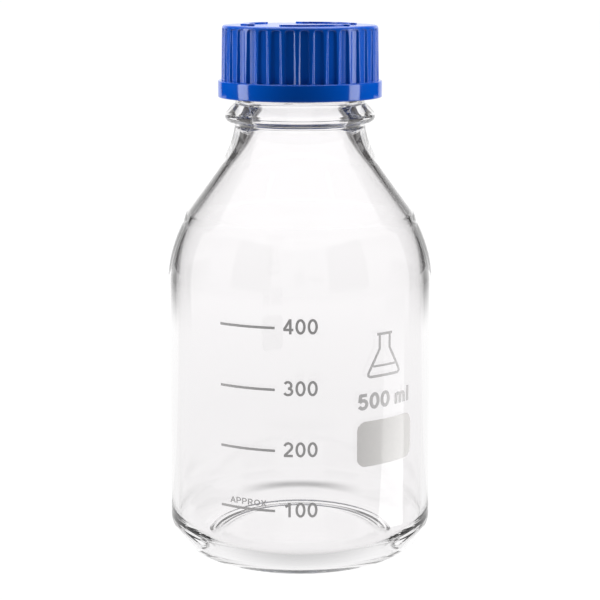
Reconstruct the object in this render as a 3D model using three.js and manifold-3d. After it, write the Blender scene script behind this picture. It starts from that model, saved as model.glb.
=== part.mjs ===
// A 500 ml laboratory reagent bottle: a glass bottle with a threaded neck, a pouring ring on its
// lip, a screw cap with a sealing liner, and fused enamel marks. Millimetres, +Z up. The origin is
// the centre of the foot, on the surface that the bottle stands on. The marks face -Y.
import * as THREE from 'three';
import { mergeVertices } from 'three/addons/utils/BufferGeometryUtils.js';
import Module from 'manifold-3d';

const wasm = await Module();
wasm.setup();

// ---- driving dimensions -----------------------------------------------------------------------
const BODY_R = 43;            // outside of the straight body
const WALL = 2.4;             // glass thickness of the straight body
const HEEL_R = 10;            // outside rounding between foot and body
const FOOT_WIDTH = 2.4;       // flat ring that the bottle stands on
const PUSH_UP = 2;            // height of the raised middle of the underside
const PUSH_UP_BLEND = 12;     // width of the curve between the foot and the raised middle
const FLOOR_Z = 3.9;          // inside floor next to the heel
const FLOOR_CROWN = 1;        // rise of the inside floor at its middle
const INNER_HEEL_R = 9.5;     // inside rounding between floor and wall
const BODY_TOP_Z = 89;        // where the straight body ends and the shoulder begins
const SHOULDER_BEND = [[BODY_R, 95], [41.2, 101.5]];  // Bezier controls: radius, height
const CREASE = [38.1, 107.4]; // faint crease in the shoulder
const CREASE_BEND = [[37.75, 108.1], [37.35, 109.9]];
const CONE_LOW = [36.8, 111.2];  // lower end of the straight slope of the shoulder
const CONE_HIGH = [26.2, 126.2]; // upper end of the straight slope
const NECK_FLARE = [[24, 129.3], [21.3, 134.5]];
const LOW_SHOULDER_WALL = 2.15;  // glass thickness at the lower end of the slope
const HIGH_SHOULDER_WALL = 2.5;
const INNER_SHOULDER_BEND = [[37.2, 106], [40.55, 98]];
const NECK_R = 21;            // outside of the neck under the bead
const NECK_BASE_Z = 139.9;    // where the neck meets the bead
const BORE_R = 16;            // inside of the neck
const BORE_BASE_Z = 143;      // where the bore begins to widen into the shoulder
const BORE_FLARE = [[BORE_R, 136], [21, 129.3]];
const BEAD_R = 24.2;
const BEAD_MIDDLE_Z = 142.2;
const BEAD_BEND_Z = 143.5;
const BEAD_UNDERSIDE = 0.2;   // rise of the bead's underside
const BEAD_TOP_Z = 146.4;
const LIP_R = 19.6;           // outside of the plain lip above the thread
const LIP_BASE_Z = 161.2;
const LIP_STEP = 0.8;         // height of the slope between the thread and the lip
const LIP_TOP_Z = 166.6;
const LIP_ROUND = 1.2;

const PITCH = 4;              // GL 45 thread
const THREAD_CORE_R = 20.9;
const THREAD_CREST_R = 22.4;
const THREAD_ROOT_WIDTH = 2.2;
const THREAD_CREST_WIDTH = 0.8;
const THREAD_START_Z = 151.2;
const THREAD_TURNS = 2.25;
const THREAD_RUN_OUT = 0.12;  // turns over which each end of a thread fades away
const CAP_THREAD_LEAD = 0.4;  // turns from the cap's helix origin to the start of its thread

const RING_INNER_R = 19.9;
const RING_OUTER_R = 21;
const RING_MOUTH_R = 16.6;
const RING_BASE_Z = 162;
const RING_TOP_Z = 167.9;
const RING_ROOF = 0.9;
const DRIP_EDGE = 0.5;        // rounding of the ring's pouring edge

const CAP_BOTTOM_Z = 148.2;
const CAP_TOP_Z = 171.1;
const BAND_TOP_Z = 153.5;
const BAND_R = 26.4;
const SKIRT_LOW_R = 25.3;
const SKIRT_HIGH_R = 25;
const CAP_EDGE_R = 1;         // rounding between skirt and roof
const CAP_BORE_R = 22.9;
const CAP_MOUTH_WIDENING = 0.8;
const CAP_MOUTH_HEIGHT = 1;
const CAP_ROOF = 1.6;
const CAP_THREAD_CREST_R = 21.4;
const FLUTES = 36;
const FLUTE_R = 2.43;         // radius of the cutter that makes each flute
const FLUTE_DEPTH = 0.75;
const FLUTE_END_Z = 170.3;    // the flutes stop here, under a plain rim
const FIRST_FLUTE_DEG = 3;    // bearing of a flute from the front of the bottle
const MARK_RISE = 0.5;        // height of the raised marks on the roof
const ARROW_INNER_R = 16.6;
const ARROW_OUTER_R = 18.4;
const ARROW_SWEEP_DEG = 70;
const ARROW_HEAD_DEG = 14;
const ARROW_WING = 1.4;       // reach of the arrow head past the arc's edges
const ARROW_STARTS_DEG = [10, 130, 250];

const LINER_R = 22.2;
const LINER_GAP = 0.3;        // to the roof above it
const LINER_THICKNESS = 1;

const ENAMEL_GAP = 0.15;      // clearance that keeps the enamel a separate solid
const ENAMEL_THICKNESS = 0.2;
const ENAMEL_SPAN = 1.5;      // longest flat stretch of a bent patch
const GRADUATION_STEP_Z = 19.3;   // 100 ml in this bore
const FIRST_GRADUATION_Z = 23.3;
const GRADUATIONS = 4;
const LINE_HEIGHT = 0.8;
const LINE_BEARINGS = [-34.7, -10.3];   // bearings are from the front, in degrees towards +X
const NUMERAL_BEARING = -6.8;
const NUMERAL_HEIGHT = 4.7;
const NUMERAL_DROP = 1.85;    // of a numeral's foot below the middle of its line
const NUMERAL_WEIGHT = 0.72;
const CAPACITY_BEARING = 25;
const CAPACITY_Z = 54.5;
const CAPACITY_HEIGHT = 4.9;
const CAPACITY_WEIGHT = 0.92;
const LETTER_M_BEARING = 43.5;
const LETTER_L_BEARING = 50.2;
const LETTER_M_WEIGHT = 0.75;
const PANEL_BEARINGS = [24.2, 54.3];
const PANEL_Z = [36.1, 50.6];
const PANEL_CORNER = 3;
const FLASK_BEARING = 37.5;
const FLASK_Z = 64.2;
const FLASK_WEIGHT = 0.8;

const AROUND = 44;            // facets round the glass
const CAP_AROUND = 72;
const THREAD_STEPS = 32;      // facets in one turn of a thread

// ---- shared geometry ---------------------------------------------------------------------------
const rad = THREE.MathUtils.degToRad;

/** Signed volume of an indexed triangle list, positive where the faces point out. */
function signedVolume(positions, triangles) {
  const [a, b, c] = [new THREE.Vector3(), new THREE.Vector3(), new THREE.Vector3()];
  let sum = 0;
  for (let i = 0; i < triangles.length; i += 3) {
    a.fromArray(positions, 3 * triangles[i]);
    b.fromArray(positions, 3 * triangles[i + 1]);
    c.fromArray(positions, 3 * triangles[i + 2]);
    sum += a.dot(b.cross(c)) / 6;
  }
  return sum;
}

/** A closed geometry as a manifold solid, with merged corners and faces pointing out. */
function toSolid(geometry) {
  const bare = geometry.clone();
  bare.deleteAttribute('normal');
  bare.deleteAttribute('uv');
  const merged = mergeVertices(bare, 1e-4);
  const positions = merged.attributes.position.array;
  const all = merged.index.array;
  const kept = [];
  for (let i = 0; i < all.length; i += 3) {
    const [a, b, c] = [all[i], all[i + 1], all[i + 2]];
    if (a !== b && b !== c && c !== a) kept.push(a, b, c);
  }
  if (signedVolume(positions, kept) < 0) kept.reverse();
  return new wasm.Manifold(new wasm.Mesh({
    numProp: 3,
    vertProperties: new Float32Array(positions),
    triVerts: new Uint32Array(kept),
  }));
}

function toGeometry(solid) {
  const mesh = solid.getMesh();
  const geometry = new THREE.BufferGeometry();
  geometry.setAttribute('position', new THREE.BufferAttribute(mesh.vertProperties, 3));
  geometry.setIndex(new THREE.BufferAttribute(mesh.triVerts, 1));
  return geometry;
}

/** A profile of [radius, height] points turned about +Z. */
function turned(profile, segments) {
  const points = profile.map(([r, z]) => new THREE.Vector2(r, z));
  const geometry = new THREE.LatheGeometry(points, segments);
  return toSolid(geometry.rotateX(Math.PI / 2));
}

/** The points of a THREE.Path drawn in the radius-height plane. */
function pathPoints(path, divisions) {
  return path.getPoints(divisions).map((p) => [p.x, p.y]);
}

/** A solid through equal cross-sections, each a list of [x, y, z] corners in the same order. */
function loft(sections, closed = false) {
  const corners = sections[0].length;
  const triangles = [];
  const corner = (section, k) => (section % sections.length) * corners + (k % corners);
  const spans = closed ? sections.length : sections.length - 1;
  for (let s = 0; s < spans; s += 1) {
    for (let k = 0; k < corners; k += 1) {
      triangles.push(corner(s, k), corner(s + 1, k), corner(s + 1, k + 1));
      triangles.push(corner(s, k), corner(s + 1, k + 1), corner(s, k + 1));
    }
  }
  if (!closed) {
    const last = sections.length - 1;
    for (let k = 1; k < corners - 1; k += 1) {
      triangles.push(corner(0, 0), corner(0, k), corner(0, k + 1));
      triangles.push(corner(last, 0), corner(last, k + 1), corner(last, k));
    }
  }
  const geometry = new THREE.BufferGeometry();
  geometry.setAttribute('position', new THREE.Float32BufferAttribute(sections.flat(2), 3));
  geometry.setIndex(triangles);
  return toSolid(geometry);
}

/**
 * A right-hand helical ridge of GL 45 section, from a root radius, sunk into its wall, to a crest.
 * The helix passes through originZ on the +X side, and the ridge starts some turns further along it.
 */
function threadRidge(rootR, crestR, originZ, firstTurn) {
  const sink = 0.4 * Math.sign(rootR - crestR);
  const steps = Math.round(THREAD_TURNS * THREAD_STEPS);
  const sections = [];
  for (let i = 0; i <= steps; i += 1) {
    const along = (i / steps) * THREAD_TURNS;
    const fade = Math.min(1, along / THREAD_RUN_OUT, (THREAD_TURNS - along) / THREAD_RUN_OUT);
    const tip = rootR + (crestR - rootR) * fade;
    const turns = firstTurn + along;
    const angle = turns * 2 * Math.PI;
    const at = (r, rise) => [r * Math.cos(angle), r * Math.sin(angle), originZ + turns * PITCH + rise];
    sections.push([
      at(rootR + sink, -THREAD_ROOT_WIDTH / 2),
      at(tip, -THREAD_CREST_WIDTH / 2),
      at(tip, THREAD_CREST_WIDTH / 2),
      at(rootR + sink, THREAD_ROOT_WIDTH / 2),
    ]);
  }
  return loft(sections);
}

// ---- glass bottle ------------------------------------------------------------------------------
/** The inside of the glass opposite a point of the shoulder's straight slope. */
function insideOfSlope([r, z], wall) {
  const slope = Math.atan2(CONE_LOW[0] - CONE_HIGH[0], CONE_HIGH[1] - CONE_LOW[1]);
  return [r - wall * Math.cos(slope), z - wall * Math.sin(slope)];
}

function outsideProfile() {
  const heelCentre = BODY_R - HEEL_R;
  const footR = heelCentre - FOOT_WIDTH;
  const path = new THREE.Path();
  path.moveTo(0, PUSH_UP);
  path.lineTo(footR - PUSH_UP_BLEND, PUSH_UP);
  path.quadraticCurveTo(footR - 0.42 * PUSH_UP_BLEND, PUSH_UP, footR, 0);
  path.lineTo(heelCentre, 0);
  path.absarc(heelCentre, HEEL_R, HEEL_R, -Math.PI / 2, 0, false);
  path.lineTo(BODY_R, BODY_TOP_Z);
  path.bezierCurveTo(...SHOULDER_BEND.flat(), ...CREASE);
  path.bezierCurveTo(...CREASE_BEND.flat(), ...CONE_LOW);
  path.lineTo(...CONE_HIGH);
  path.bezierCurveTo(...NECK_FLARE.flat(), NECK_R, NECK_BASE_Z);
  path.quadraticCurveTo(BEAD_R, NECK_BASE_Z + BEAD_UNDERSIDE, BEAD_R, BEAD_MIDDLE_Z);
  path.quadraticCurveTo(BEAD_R, BEAD_BEND_Z, THREAD_CORE_R, BEAD_TOP_Z);
  path.lineTo(THREAD_CORE_R, LIP_BASE_Z);
  path.lineTo(LIP_R, LIP_BASE_Z + LIP_STEP);
  path.lineTo(LIP_R, LIP_TOP_Z - LIP_ROUND);
  path.absarc(LIP_R - LIP_ROUND, LIP_TOP_Z - LIP_ROUND, LIP_ROUND, 0, Math.PI / 2, false);
  return path;
}

function insideProfile() {
  const innerR = BODY_R - WALL;
  const low = insideOfSlope(CONE_LOW, LOW_SHOULDER_WALL);
  const high = insideOfSlope(CONE_HIGH, HIGH_SHOULDER_WALL);
  const heelCentre = innerR - INNER_HEEL_R;
  const path = new THREE.Path();
  path.moveTo(BORE_R + LIP_ROUND, LIP_TOP_Z);
  path.quadraticCurveTo(BORE_R, LIP_TOP_Z, BORE_R, LIP_TOP_Z - LIP_ROUND);
  path.lineTo(BORE_R, BORE_BASE_Z);
  path.bezierCurveTo(...BORE_FLARE.flat(), ...high);
  path.lineTo(...low);
  path.bezierCurveTo(...INNER_SHOULDER_BEND.flat(), innerR, BODY_TOP_Z);
  path.lineTo(innerR, FLOOR_Z + INNER_HEEL_R);
  path.absarc(heelCentre, FLOOR_Z + INNER_HEEL_R, INNER_HEEL_R, 0, -Math.PI / 2, true);
  path.quadraticCurveTo(heelCentre / 2, FLOOR_Z + FLOOR_CROWN, 0, FLOOR_Z + FLOOR_CROWN);
  return path;
}

function glassBottle() {
  const profile = [...pathPoints(outsideProfile(), 3), ...pathPoints(insideProfile(), 3)];
  const blank = turned(profile, AROUND);
  return blank.add(threadRidge(THREAD_CORE_R, THREAD_CREST_R, THREAD_START_Z, 0));
}

// ---- pouring ring and liner --------------------------------------------------------------------
function pouringRing() {
  const roofZ = RING_TOP_Z - RING_ROOF;
  const path = new THREE.Path();
  path.moveTo(RING_INNER_R, RING_BASE_Z);
  path.lineTo(RING_OUTER_R, RING_BASE_Z);
  path.lineTo(RING_OUTER_R, RING_TOP_Z - DRIP_EDGE);
  path.quadraticCurveTo(RING_OUTER_R, RING_TOP_Z, RING_OUTER_R - DRIP_EDGE, RING_TOP_Z);
  path.lineTo(RING_MOUTH_R, RING_TOP_Z);
  path.lineTo(RING_MOUTH_R, roofZ);
  path.lineTo(RING_INNER_R, roofZ);
  path.lineTo(RING_INNER_R, RING_BASE_Z);
  return turned(pathPoints(path, 2), AROUND);
}

function capLiner() {
  const top = CAP_TOP_Z - CAP_ROOF - LINER_GAP;
  const bottom = top - LINER_THICKNESS;
  return turned([[0, bottom], [LINER_R, bottom], [LINER_R, top], [0, top]], AROUND);
}

// ---- screw cap ---------------------------------------------------------------------------------
function capBlank() {
  const roofZ = CAP_TOP_Z - CAP_ROOF;
  const path = new THREE.Path();
  path.moveTo(0, roofZ);
  path.lineTo(CAP_BORE_R, roofZ);
  path.lineTo(CAP_BORE_R, CAP_BOTTOM_Z + CAP_MOUTH_HEIGHT);
  path.lineTo(CAP_BORE_R + CAP_MOUTH_WIDENING, CAP_BOTTOM_Z);
  path.lineTo(BAND_R, CAP_BOTTOM_Z);
  path.lineTo(BAND_R, BAND_TOP_Z);
  path.lineTo(SKIRT_LOW_R, BAND_TOP_Z);
  path.lineTo(SKIRT_HIGH_R, CAP_TOP_Z - CAP_EDGE_R);
  path.absarc(SKIRT_HIGH_R - CAP_EDGE_R, CAP_TOP_Z - CAP_EDGE_R, CAP_EDGE_R, 0, Math.PI / 2, false);
  path.lineTo(0, CAP_TOP_Z);
  return turned(pathPoints(path, 2), CAP_AROUND);
}

/** One flute's cutter: an upright cylinder that bites into the skirt from the band to the rim. */
function fluteCutter(index) {
  const height = FLUTE_END_Z - BAND_TOP_Z;
  const centreR = SKIRT_LOW_R - FLUTE_DEPTH + FLUTE_R;
  const angle = rad(FIRST_FLUTE_DEG - 90 + (index * 360) / FLUTES);
  const cutter = new THREE.CylinderGeometry(FLUTE_R, FLUTE_R, height, 16).rotateX(Math.PI / 2);
  cutter.rotateZ(angle);
  cutter.translate(centreR * Math.cos(angle), centreR * Math.sin(angle), BAND_TOP_Z + height / 2);
  return toSolid(cutter);
}

/** A raised arc on the roof, with an arrow head at its end that points the way the cap opens. */
function turnArrow(startDeg) {
  const start = rad(startDeg);
  const end = start + rad(ARROW_SWEEP_DEG);
  const shape = new THREE.Shape();
  const middleR = (ARROW_INNER_R + ARROW_OUTER_R) / 2;
  const polar = (r, a) => [r * Math.cos(a), r * Math.sin(a)];
  shape.moveTo(...polar(ARROW_INNER_R, start));
  shape.lineTo(...polar(ARROW_OUTER_R, start));
  shape.absarc(0, 0, ARROW_OUTER_R, start, end, false);
  shape.lineTo(...polar(ARROW_OUTER_R + ARROW_WING, end));
  shape.lineTo(...polar(middleR, end + rad(ARROW_HEAD_DEG)));
  shape.lineTo(...polar(ARROW_INNER_R - ARROW_WING, end));
  shape.lineTo(...polar(ARROW_INNER_R, end));
  shape.absarc(0, 0, ARROW_INNER_R, end, start, true);
  const arrow = new THREE.ExtrudeGeometry(shape, {
    depth: 2 * MARK_RISE, bevelEnabled: false, curveSegments: 8,
  });
  return toSolid(arrow.translate(0, 0, CAP_TOP_Z - MARK_RISE));
}

function screwCap() {
  let cap = capBlank();
  for (let i = 0; i < FLUTES; i += 1) cap = cap.subtract(fluteCutter(i));
  for (const start of ARROW_STARTS_DEG) cap = cap.add(turnArrow(start));
  const helixZ = THREAD_START_Z - PITCH / 2;
  return cap.add(threadRidge(CAP_BORE_R, CAP_THREAD_CREST_R, helixZ, CAP_THREAD_LEAD));
}

// ---- enamel marks ------------------------------------------------------------------------------
const ENAMEL_R = BODY_R + ENAMEL_GAP;

/** A point of the enamel: bearing from the front in degrees, height, and depth from its back. */
function onGlass(bearingDeg, z, depth) {
  const angle = rad(bearingDeg);
  const r = ENAMEL_R + depth;
  return [r * Math.sin(angle), -r * Math.cos(angle), z];
}

/** A patch of enamel between two bearings, with rounded corners where corner is over 0. */
function enamelPatch(fromDeg, toDeg, lowZ, highZ, corner = 0) {
  const length = rad(toDeg - fromDeg) * BODY_R;
  const stations = [0, length];
  for (let s = ENAMEL_SPAN; s < length - 1; s += ENAMEL_SPAN) stations.push(s);
  for (const part of corner ? [0.15, 0.5, 1] : []) stations.push(corner * part, length - corner * part);
  const sections = [];
  for (const s of stations.sort((a, b) => a - b)) {
    const inset = Math.max(0, corner - Math.min(s, length - s));
    const cut = corner - Math.sqrt(corner ** 2 - inset ** 2);
    const bearing = fromDeg + ((toDeg - fromDeg) * s) / length;
    const [low, high] = [lowZ + cut, highZ - cut];
    sections.push([
      onGlass(bearing, low, 0), onGlass(bearing, low, ENAMEL_THICKNESS),
      onGlass(bearing, high, ENAMEL_THICKNESS), onGlass(bearing, high, 0),
    ]);
  }
  return loft(sections);
}

/** Points on an ellipse's arc, for a stroke. */
function arc(cx, cy, rx, ry, fromDeg, toDeg, steps = 7) {
  const points = [];
  for (let i = 0; i <= steps; i += 1) {
    const angle = rad(fromDeg + ((toDeg - fromDeg) * i) / steps);
    points.push([cx + rx * Math.cos(angle), cy + ry * Math.sin(angle)]);
  }
  return points;
}

/** A stroke of even width along flat points; a closed one joins its end to its start. */
function stroke(points, width, closed = false) {
  const count = points.length;
  const sections = points.map(([x, y], i) => {
    const before = points[closed ? (i + count - 1) % count : Math.max(0, i - 1)];
    const after = points[closed ? (i + 1) % count : Math.min(count - 1, i + 1)];
    const across = new THREE.Vector2(before[1] - after[1], after[0] - before[0]).setLength(width / 2);
    const [left, right] = [[x + across.x, y + across.y], [x - across.x, y - across.y]];
    return [[...left, 0], [...right, 0], [...right, ENAMEL_THICKNESS], [...left, ENAMEL_THICKNESS]];
  });
  return loft(sections, closed);
}

// Strokes of each character in a cell 1 high, on its centre line, drawn before scaling.
const CELL_WIDTH = 0.69;
const GLYPHS = {
  0: { loops: [arc(0.33, 0.5, 0.24, 0.42, 0, 330, 11)] },
  1: { lines: [[[0.38, 0], [0.38, 1]], [[0.12, 0.72], [0.4, 0.93]]] },
  2: {
    lines: [
      arc(0.33, 0.68, 0.24, 0.24, 170, -35),
      [[0.53, 0.56], [0.1, 0.08]],
      [[0.06, 0.08], [0.62, 0.08]],
    ],
  },
  3: { lines: [arc(0.31, 0.7, 0.22, 0.22, 150, -90), arc(0.31, 0.29, 0.25, 0.22, 90, -160)] },
  4: { lines: [[[0.46, 0], [0.46, 1]], [[0.47, 0.95], [0.06, 0.28]], [[0.04, 0.28], [0.66, 0.28]]] },
  5: {
    lines: [
      [[0.58, 0.92], [0.14, 0.92]],
      [[0.17, 0.96], [0.12, 0.46]],
      arc(0.32, 0.33, 0.25, 0.27, 150, -155),
    ],
  },
  l: { lines: [[[0.14, 0], [0.14, 1]]] },
  m: {
    lines: [
      [[0.08, 0], [0.08, 0.7]],
      [...arc(0.25, 0.42, 0.17, 0.2, 175, 0, 5), [0.42, 0]],
      [...arc(0.59, 0.42, 0.17, 0.2, 175, 0, 5), [0.76, 0]],
    ],
  },
};

/** One character as a solid bent round the glass, at a bearing and height for its lower left. */
function enamelGlyph(character, bearingDeg, z, height, weight) {
  const { lines = [], loops = [] } = GLYPHS[character];
  const scaled = (points) => points.map(([x, y]) => [x * height, y * height]);
  const parts = [
    ...lines.map((points) => stroke(scaled(points), weight)),
    ...loops.map((points) => stroke(scaled(points), weight, true)),
  ];
  return bent(parts.reduce((whole, part) => whole.add(part)), bearingDeg, z);
}

/** A flat solid bent round the glass, its x becoming a distance round the body. */
function bent(flat, bearingDeg, z) {
  const geometry = toGeometry(flat);
  const place = geometry.attributes.position;
  for (let i = 0; i < place.count; i += 1) {
    const bearing = bearingDeg + THREE.MathUtils.radToDeg(place.getX(i) / BODY_R);
    place.setXYZ(i, ...onGlass(bearing, z + place.getY(i), place.getZ(i)));
  }
  return toSolid(geometry);
}

/** The outline of a conical flask, a plain symbol for laboratory glass. */
function flaskSymbol() {
  const flask = [
    [-2, 13.6], [-2, 9], [-4, 5.4], [-6.2, 1.4], [-5.6, 0.4],
    [-3, 0.4], [0, 0.4], [3, 0.4], [5.6, 0.4],
    [6.2, 1.4], [4, 5.4], [2, 9], [2, 13.6], [0, 13.6],
  ];
  return bent(stroke(flask, FLASK_WEIGHT, true), FLASK_BEARING, FLASK_Z);
}

// ---- assembly ----------------------------------------------------------------------------------
const GLASS = { color: 0xe8f0ee, roughness: 0.03, metalness: 0, transparent: true, opacity: 0.35 };
const BLUE = { color: 0x0b4fb3, roughness: 0.3, metalness: 0 };
const RING_BLUE = { color: 0x1560c0, roughness: 0.35, metalness: 0 };
const LINER = { color: 0xe9e6de, roughness: 0.5, metalness: 0 };
const ENAMEL = { color: 0x9d9c9d, roughness: 0.45, metalness: 0 };
const PANEL = { color: 0xc8c4c0, roughness: 0.5, metalness: 0 };

const bottle = new THREE.Group();

function addPiece(name, solid, finish) {
  const mesh = new THREE.Mesh(toGeometry(solid), new THREE.MeshStandardMaterial(finish));
  mesh.name = name;
  bottle.add(mesh);
}

/** A row of characters, each its own piece, starting at a bearing. */
function addNumber(name, text, bearingDeg, z, height, weight) {
  const advance = THREE.MathUtils.radToDeg((height * (CELL_WIDTH + 0.1)) / BODY_R);
  [...text].forEach((character, i) => {
    const glyph = enamelGlyph(character, bearingDeg + i * advance, z, height, weight);
    addPiece(`${name}_${i + 1}`, glyph, ENAMEL);
  });
}

addPiece('glass_bottle', glassBottle(), GLASS);
addPiece('pouring_ring', pouringRing(), RING_BLUE);
addPiece('cap_liner', capLiner(), LINER);
addPiece('screw_cap', screwCap(), BLUE);
for (let i = 0; i < GRADUATIONS; i += 1) {
  const z = FIRST_GRADUATION_Z + i * GRADUATION_STEP_Z;
  const label = `${100 * (i + 1)}`;
  const line = enamelPatch(...LINE_BEARINGS, z - LINE_HEIGHT / 2, z + LINE_HEIGHT / 2);
  addPiece(`line_${label}`, line, ENAMEL);
  const footZ = z - NUMERAL_DROP;
  addNumber(`numeral_${label}`, label, NUMERAL_BEARING, footZ, NUMERAL_HEIGHT, NUMERAL_WEIGHT);
}
addNumber('capacity_digit', '500', CAPACITY_BEARING, CAPACITY_Z, CAPACITY_HEIGHT, CAPACITY_WEIGHT);
for (const [letter, bearing, weight] of [
  ['m', LETTER_M_BEARING, LETTER_M_WEIGHT], ['l', LETTER_L_BEARING, CAPACITY_WEIGHT],
]) {
  const glyph = enamelGlyph(letter, bearing, CAPACITY_Z, CAPACITY_HEIGHT, weight);
  addPiece(`capacity_letter_${letter}`, glyph, ENAMEL);
}
addPiece('writing_panel', enamelPatch(...PANEL_BEARINGS, ...PANEL_Z, PANEL_CORNER), PANEL);
addPiece('flask_symbol', flaskSymbol(), ENAMEL);

export default bottle;
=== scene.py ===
"""Looks of the 500 ml reagent bottle: clear glass, fluted blue screw cap and fused grey enamel."""
import math

import bmesh
import bpy
import numpy as np
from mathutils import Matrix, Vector


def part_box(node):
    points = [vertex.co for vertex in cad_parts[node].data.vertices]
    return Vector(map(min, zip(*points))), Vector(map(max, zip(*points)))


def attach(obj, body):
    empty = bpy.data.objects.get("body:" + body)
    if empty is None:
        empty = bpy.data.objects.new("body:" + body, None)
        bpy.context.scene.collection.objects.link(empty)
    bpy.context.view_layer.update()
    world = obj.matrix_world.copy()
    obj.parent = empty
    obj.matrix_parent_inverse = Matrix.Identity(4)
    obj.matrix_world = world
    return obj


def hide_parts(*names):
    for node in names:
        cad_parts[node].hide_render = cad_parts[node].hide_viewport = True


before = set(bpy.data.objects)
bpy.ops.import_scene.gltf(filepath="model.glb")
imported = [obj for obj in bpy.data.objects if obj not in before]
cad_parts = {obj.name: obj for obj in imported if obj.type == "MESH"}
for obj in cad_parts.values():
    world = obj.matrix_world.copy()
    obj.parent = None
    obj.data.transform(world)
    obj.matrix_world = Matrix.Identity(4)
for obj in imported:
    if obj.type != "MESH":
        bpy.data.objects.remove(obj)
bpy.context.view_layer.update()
MM = 0.001


def box_mm(node):
    """A CAD node's lowest and highest corners, in millimetres."""
    return [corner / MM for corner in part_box(node)]


# ---- sizes, in millimetres, worked out from the frame where it holds them ----------------------
CAP_LOW, CAP_HIGH = box_mm("screw_cap")
RING_LOW, RING_HIGH = box_mm("pouring_ring")
LINER_LOW, LINER_HIGH = box_mm("cap_liner")

# The glass. A name that ends in PULLS holds the points between a curve's ends that shape it.
BODY_R = box_mm("glass_bottle")[1].x
LIP_TOP = box_mm("glass_bottle")[1].z
WALL = 2.4
LOW_SHOULDER_WALL = 2.15
HIGH_SHOULDER_WALL = 2.5
HEEL_R = 10
FOOT_WIDTH = 2.4
PUSH_UP = 2                   # height of the base's underside inside the foot
PUSH_UP_SLOPE = 12            # width of its curve down to the foot
PUSH_UP_PULL = 5
FLOOR_Z = 3.9
FLOOR_CROWN = 1
INNER_HEEL_R = 9.5
BODY_TOP_Z = 89
SHOULDER_PULLS = ((BODY_R, 95), (41.2, 101.5))
CREASE = (38.1, 107.4)
CREASE_PULLS = ((37.75, 108.1), (37.35, 109.9))
CONE_LOW = (36.8, 111.2)
CONE_HIGH = (26.2, 126.2)
NECK_PULLS = ((24, 129.3), (21.3, 134.5))
INNER_SHOULDER_PULLS = ((37.2, 106), (40.55, 98))
NECK_R = 21
NECK_BASE_Z = 139.9
BORE_R = 16
BORE_BASE_Z = 143
INNER_NECK_PULLS = ((BORE_R, 136), (21, 129.3))
BEAD_R = 24.2
BEAD_MIDDLE_Z = 142.2
BEAD_TOP_Z = 146.4
BEAD_PULLS = ((BEAD_R, 140.1), (BEAD_R, 143.5))
LIP_R = 19.6
LIP_BASE_Z = 161.2
LIP_CHAMFER = 0.8
LIP_ROUND = 1.2

# The threads, on the neck and in the cap.
PITCH = 4
THREAD_CORE_R = 20.9
THREAD_CREST_R = 22.4
THREAD_HALF_ROOT = 1.1
THREAD_HALF_CREST = 0.4
THREAD_START_Z = 151.2
THREAD_ROOM = 1.2             # how far below its start the thread's first flank may reach
THREAD_TURNS = 2.25
THREAD_RUN_OUT = 0.12         # turns over which each end fades into the wall
CAP_THREAD_LEAD = 0.4         # turns from the start height to where the cap's thread begins

# The cap. Shares of a flute are measured from its middle, over half the distance to the next.
RAISED = 0.5                  # height of the marks on the cap's roof
CAP_TOP = CAP_HIGH.z - RAISED
CAP_BOTTOM = CAP_LOW.z
BAND_R = CAP_HIGH.x
BAND_TOP_Z = 153.5
SKIRT_LOW_R = 25.3
SKIRT_HIGH_R = 25
CAP_EDGE_R = 1
CAP_BORE_R = 22.9
CAP_ROOF = 1.6
CAP_THREAD_CREST_R = 21.4
FLUTES = 36
FLUTE_DEPTH = 0.75
FIRST_FLUTE = math.radians(3 - 90)
FLUTE_END_Z = 170.3           # where the flutes end, under the cap's plain rim
FLUTE_FLOOR = 0.4             # share of a flute that is flat
FLUTE_FLANK = 0.55            # share that is its sloping side
FLUTE_END_DROP = 0.8          # how much lower a flute ends at its sides than in its middle
FLUTE_END_START = 0.35        # share at which its end begins to curve down
FLUTE_END_CURVE = 0.35        # share over which it does
FLUTE_END_EASE = 0.35         # height over which a flute runs out

# The enamel. Places on the glass are bearings in degrees from the front, to the right.
ENAMEL_LIFT = 0.02            # gap between the enamel's back and the glass
ENAMEL_THICKNESS = 0.05
GRADUATIONS = (100, 200, 300, 400)
LINE_BEARINGS = (-34.7, -10.3)
NUMERAL_BEARING = -6.8
NUMERAL_DROP = 1.85           # from a line's middle to the foot of its numeral
NOTE_BEARINGS = (-30.3, -14)
NOTE_Z = 24.6
CAPACITY_BEARINGS = (24.5, 52.6)
CAPACITY_Z = 54.5
PANEL_BEARINGS = (24.2, 54.3)
PANEL_CORNER_R = 3
FLASK_BEARING = 37.5
FLASK_Z = 64.2


# ---- outlines: lists of (radius, height) -------------------------------------------------------
def line(start, end, count):
    """Points of a straight line, without its last point."""
    return [tuple(np.array(start) + (np.array(end) - start) * i / count) for i in range(count)]


def ellipse(cx, cy, rx, ry, start_deg, end_deg, count=18):
    """Points of part of an ellipse, with both its ends."""
    angles = np.radians(np.linspace(start_deg, end_deg, count + 1))
    return [(cx + rx * math.cos(a), cy + ry * math.sin(a)) for a in angles]


def arc(centre, radius, start_deg, end_deg, count):
    return ellipse(*centre, radius, radius, start_deg, end_deg, count)


def bezier(points, count):
    """Points of a Bezier curve of any degree, without its last point."""
    result = []
    for step in range(count):
        level = [np.array(p, float) for p in points]
        while len(level) > 1:
            level = [a + (b - a) * step / count for a, b in zip(level, level[1:])]
        result.append(tuple(level[0]))
    return result


def eased(share):
    """A share from 0 to 1, with a smooth start and a smooth end."""
    return share * share * (3 - 2 * share)


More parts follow.
